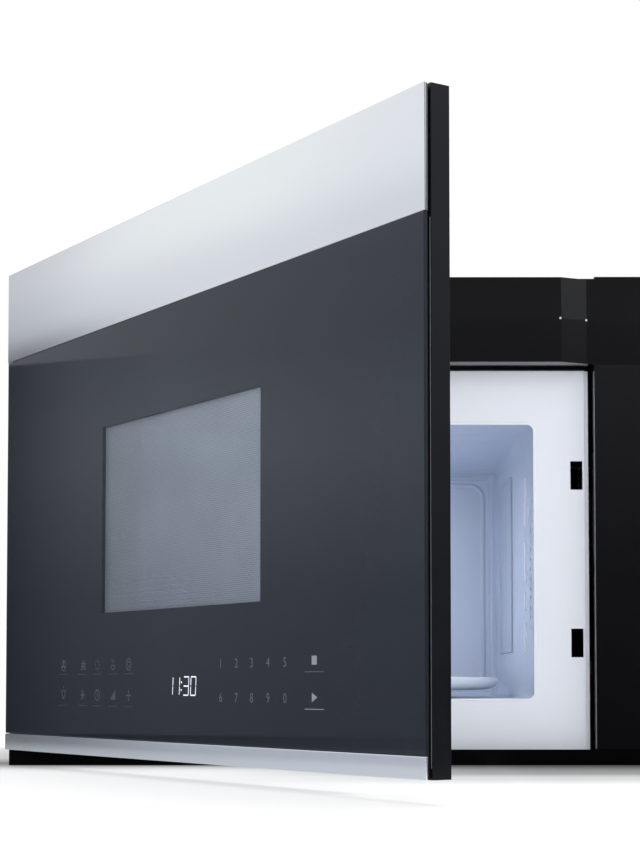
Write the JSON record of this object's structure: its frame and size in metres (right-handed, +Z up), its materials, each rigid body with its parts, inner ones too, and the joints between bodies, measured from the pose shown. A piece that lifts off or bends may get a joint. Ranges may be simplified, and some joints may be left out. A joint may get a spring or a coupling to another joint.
{
  "type": "over the range microwave",
  "caption": "Over the range microwave and hood: full-width glass door on left hinges, cavity with turntable, latch and interlocks, blower, filters and top exhaust.",
  "frame": {"origin": "middle of the body's underside, halfway between its front and its back", "axes": "+X to the right as a user faces it, +Y to the wall, +Z up; the door is open at rest"},
  "size_m": [0.6075, 0.9048, 0.417],
  "materials": {
    "black_paint": "satin",
    "black_plastic": "satin",
    "gloss_black": "gloss",
    "black_glass": "printed from behind",
    "stainless": "brushed along its length",
    "white_enamel": "semi-gloss",
    "cavity_enamel": "semi-gloss",
    "screen": "perforated, grey",
    "clear_glass": "clear",
    "steel": "galvanised",
    "aluminium": "mill",
    "grey_plastic": "matte",
    "white_plastic": "matte",
    "circuit": "lacquered",
    "winding": "lacquered copper",
    "charcoal": "porous"
  },
  "bodies": {
    "body": {"bottom_plate": "black_paint", "top_panel": "black_paint", "back_panel": "black_paint", "left_side_panel": "black_paint", "right_side_panel": "black_paint", "bottom_trim": "black_plastic", "front_plate": "white_enamel", "right_cover": "gloss_black", "vent_cover": "gloss_black", "vent_cover_right": "gloss_black", "cavity_shell": "cavity_enamel", "waveguide_cover": "cavity_enamel", "cavity_lamp": "white_plastic", "turntable_motor": "steel", "latch_board": "white_plastic", "interlock_switch_upper": "grey_plastic", "interlock_switch_lower": "grey_plastic", "monitor_switch": "grey_plastic", "waveguide": "aluminium", "magnetron": "aluminium", "hv_transformer": "winding", "hv_capacitor": "aluminium", "main_board": "circuit", "fan_motor": "steel", "blower_motor": "steel", "blower_housing": "steel", "damper_frame": "steel", "charcoal_filter": "charcoal", "hood_lamp": "white_plastic", "cord_gland": "black_plastic", "hinge_bracket_top": "steel", "hinge_bracket_bottom": "steel", "hinge_pin_top": "steel", "hinge_pin_bottom": "steel"},
    "door": {"door_frame": "black_plastic", "door_glass": "black_glass", "door_top_trim": "stainless", "door_bottom_trim": "stainless", "choke_panel": "screen", "choke_cover": "black_plastic", "inner_window": "clear_glass", "touch_board": "circuit", "latch_spring": "steel"},
    "latch": {"latch_plate": "white_plastic"},
    "plunger_upper": {"switch_plunger_upper": "white_plastic"},
    "plunger_lower": {"switch_plunger_lower": "white_plastic"},
    "plunger_monitor": {"switch_plunger_monitor": "white_plastic"},
    "turntable": {"glass_turntable": "clear_glass", "turntable_coupler": "white_plastic"},
    "ring": {"roller_ring": "white_plastic"},
    "wheel_1": {"roller_1": "white_plastic"},
    "wheel_2": {"roller_2": "white_plastic"},
    "wheel_3": {"roller_3": "white_plastic"},
    "fan": {"fan_blade": "grey_plastic"},
    "blower": {"blower_wheel_left": "grey_plastic", "blower_wheel_right": "grey_plastic"},
    "damper": {"damper_flap": "aluminium"},
    "lamp_cover": {"hood_lamp_cover": "clear_glass"},
    "filter_left": {"grease_filter_left": "aluminium"},
    "filter_right": {"grease_filter_right": "aluminium"}
  },
  "joints": [
    {"name": "door_hinge", "type": "hinge", "parent": "body", "child": "door", "pos_m": [-0.29, -0.2045, 0.2], "axis": [0, 0, -1], "range_deg": [-57.4, 42.6]},
    {"name": "latch_lift", "type": "slide", "parent": "door", "child": "latch", "axis": [0, 0, 1], "range_m": [0, 0.004], "stiffness_N_per_m": 400, "springref_m": -0.003, "deforming": ["latch_spring"]},
    {"name": "plunger_upper_press", "type": "slide", "parent": "body", "child": "plunger_upper", "axis": [-1, 0, 0], "range_m": [0, 0.0012], "stiffness_N_per_m": 300, "springref_m": -0.0005},
    {"name": "plunger_lower_press", "type": "slide", "parent": "body", "child": "plunger_lower", "axis": [-1, 0, 0], "range_m": [0, 0.0012], "stiffness_N_per_m": 300, "springref_m": -0.0005},
    {"name": "plunger_monitor_press", "type": "slide", "parent": "body", "child": "plunger_monitor", "axis": [-1, 0, 0], "range_m": [0, 0.0012], "stiffness_N_per_m": 300, "springref_m": -0.0005},
    {"name": "turntable_spin", "type": "hinge", "parent": "body", "child": "turntable", "pos_m": [-0.04, 0.003, 0.063], "axis": [0, 0, 1], "continuous": true},
    {"name": "ring_spin", "type": "hinge", "parent": "body", "child": "ring", "pos_m": [-0.04, 0.003, 0.0565], "axis": [0, 0, 1], "continuous": true},
    {"name": "wheel_1_roll", "type": "hinge", "parent": "ring", "child": "wheel_1", "pos_m": [0.065, 0.003, 0.0565], "axis": [1, 0, 0], "continuous": true},
    {"name": "wheel_2_roll", "type": "hinge", "parent": "ring", "child": "wheel_2", "pos_m": [-0.0925, 0.09393, 0.0565], "axis": [-0.5, 0.866, 0], "continuous": true},
    {"name": "wheel_3_roll", "type": "hinge", "parent": "ring", "child": "wheel_3", "pos_m": [-0.0925, -0.08793, 0.0565], "axis": [-0.5, -0.866, 0], "continuous": true},
    {"name": "fan_spin", "type": "hinge", "parent": "body", "child": "fan", "pos_m": [0.232, 0.1482, 0.24], "axis": [0, 1, 0], "continuous": true},
    {"name": "blower_spin", "type": "hinge", "parent": "body", "child": "blower", "pos_m": [0, 0.118, 0.343], "axis": [1, 0, 0], "continuous": true},
    {"name": "damper_swing", "type": "hinge", "parent": "body", "child": "damper", "pos_m": [0, 0.15525, 0.399], "axis": [-1, 0, 0], "range_deg": [0, 75]},
    {"name": "lamp_cover_hinge", "type": "hinge", "parent": "body", "child": "lamp_cover", "pos_m": [0, -0.105, 0.0013], "axis": [1, 0, 0], "range_deg": [0, 80]},
    {"name": "filter_left_slide", "type": "slide", "parent": "body", "child": "filter_left", "axis": [0, 1, 0], "range_m": [0, 0.008]},
    {"name": "filter_right_slide", "type": "slide", "parent": "body", "child": "filter_right", "axis": [0, 1, 0], "range_m": [0, 0.008]}
  ],
  "couplings": [
    {"joint": "ring_spin", "follows": "turntable_spin", "ratio": 0.5},
    {"joint": "wheel_1_roll", "follows": "turntable_spin", "ratio": -8.4677},
    {"joint": "wheel_2_roll", "follows": "turntable_spin", "ratio": -8.4677},
    {"joint": "wheel_3_roll", "follows": "turntable_spin", "ratio": -8.4677}
  ]
}
